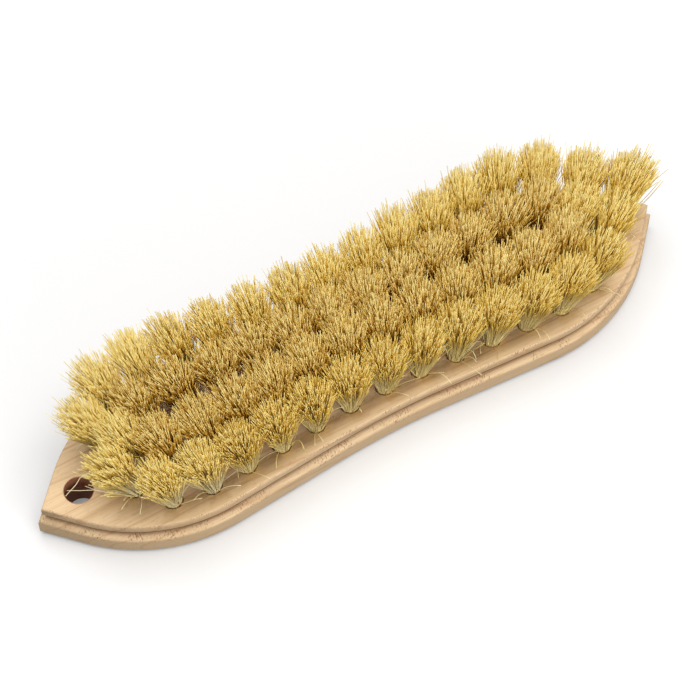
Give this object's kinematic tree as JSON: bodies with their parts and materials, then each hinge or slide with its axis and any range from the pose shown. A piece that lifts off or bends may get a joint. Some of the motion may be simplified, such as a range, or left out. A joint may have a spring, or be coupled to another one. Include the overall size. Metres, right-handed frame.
{
  "type": "scrub brush",
  "caption": "Waisted wooden scrub brush with pointed ends, a finger groove round its edge, a hanging hole and splayed tufts of stiff plant fibre, each held in a blind hole by a wire anchor.",
  "frame": {"origin": "middle of the flat back face, which the brush lies on", "axes": "+X along the block from the hanging hole to the plain end, +Y across it, +Z along the bristles"},
  "size_m": [0.24, 0.062, 0.041],
  "materials": {
    "beech": "sanded, unvarnished",
    "plant_fibre": "stiff matt fibre",
    "anchor_wire": "flat wire"
  },
  "bodies": {
    "root": {"anchor_staples": "anchor_wire", "brush_block": "beech", "tuft_hole_end_far": "plant_fibre", "tuft_hole_end_middle": "plant_fibre", "tuft_hole_end_near": "plant_fibre", "tuft_plain_end_far": "plant_fibre", "tuft_plain_end_middle": "plant_fibre", "tuft_plain_end_near": "plant_fibre", "tuft_plain_end_point": "plant_fibre", "tuft_row_a_01": "plant_fibre", "tuft_row_a_02": "plant_fibre", "tuft_row_a_03": "plant_fibre", "tuft_row_a_04": "plant_fibre", "tuft_row_a_05": "plant_fibre", "tuft_row_a_06": "plant_fibre", "tuft_row_a_07": "plant_fibre", "tuft_row_a_08": "plant_fibre", "tuft_row_a_09": "plant_fibre", "tuft_row_a_10": "plant_fibre", "tuft_row_a_11": "plant_fibre", "tuft_row_a_12": "plant_fibre", "tuft_row_a_13": "plant_fibre", "tuft_row_b_01": "plant_fibre", "tuft_row_b_02": "plant_fibre", "tuft_row_b_03": "plant_fibre", "tuft_row_b_04": "plant_fibre", "tuft_row_b_05": "plant_fibre", "tuft_row_b_06": "plant_fibre", "tuft_row_b_07": "plant_fibre", "tuft_row_b_08": "plant_fibre", "tuft_row_b_09": "plant_fibre", "tuft_row_b_10": "plant_fibre", "tuft_row_b_11": "plant_fibre", "tuft_row_b_12": "plant_fibre", "tuft_row_c_01": "plant_fibre", "tuft_row_c_02": "plant_fibre", "tuft_row_c_03": "plant_fibre", "tuft_row_c_04": "plant_fibre", "tuft_row_c_05": "plant_fibre", "tuft_row_c_06": "plant_fibre", "tuft_row_c_07": "plant_fibre", "tuft_row_c_08": "plant_fibre", "tuft_row_c_09": "plant_fibre", "tuft_row_c_10": "plant_fibre", "tuft_row_c_11": "plant_fibre", "tuft_row_c_12": "plant_fibre", "tuft_row_d_01": "plant_fibre", "tuft_row_d_02": "plant_fibre", "tuft_row_d_03": "plant_fibre", "tuft_row_d_04": "plant_fibre", "tuft_row_d_05": "plant_fibre", "tuft_row_d_06": "plant_fibre", "tuft_row_d_07": "plant_fibre", "tuft_row_d_08": "plant_fibre", "tuft_row_d_09": "plant_fibre", "tuft_row_d_10": "plant_fibre", "tuft_row_d_11": "plant_fibre", "tuft_row_d_12": "plant_fibre", "tuft_row_d_13": "plant_fibre"}
  },
  "joints": []
}
